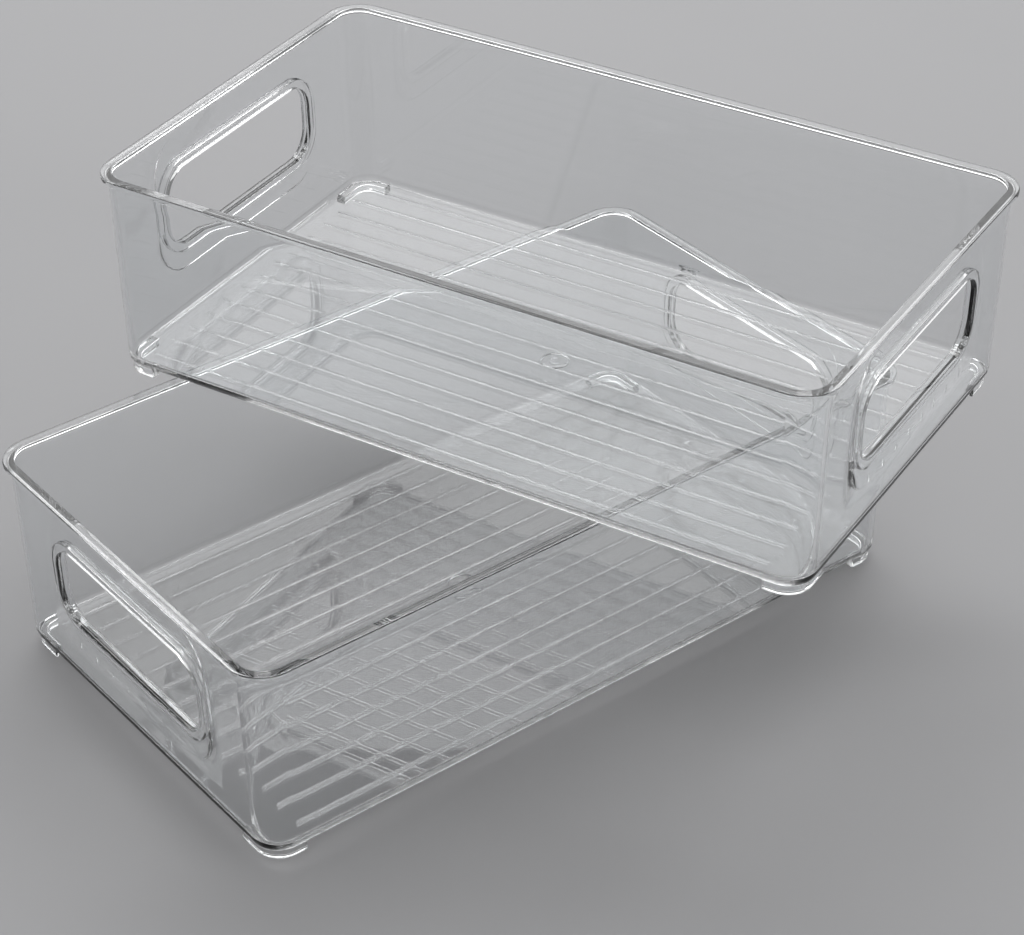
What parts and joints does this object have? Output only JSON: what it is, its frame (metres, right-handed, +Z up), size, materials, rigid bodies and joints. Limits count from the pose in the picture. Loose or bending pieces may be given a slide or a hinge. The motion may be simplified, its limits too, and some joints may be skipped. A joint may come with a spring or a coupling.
{
  "type": "pair of stacked fridge bins",
  "caption": "Clear shallow storage bin with an oval handle hole in each end wall, and an identical bin resting crosswise on its rims.",
  "frame": {"origin": "on the surface the pair stands on, under the middle of the pair's overall box", "axes": "+Z up; +X along the lower bin's length, from its front end to its back end; +Y across the lower bin; the upper bin's front end points towards -Y, 69.1 degrees clockwise of +X"},
  "size_m": [0.3525, 0.3562, 0.176],
  "materials": {
    "clear_plastic": "clear, colourless, polished injection moulding"
  },
  "bodies": {
    "lower_bin": {"lower_bin": "clear_plastic"},
    "upper_bin": {"upper_bin": "clear_plastic"}
  },
  "joints": [
    {"name": "upper_bin_lift", "type": "slide", "parent": "lower_bin", "child": "upper_bin", "axis": [0, 0, 1], "range_m": [0, 0.1]}
  ]
}
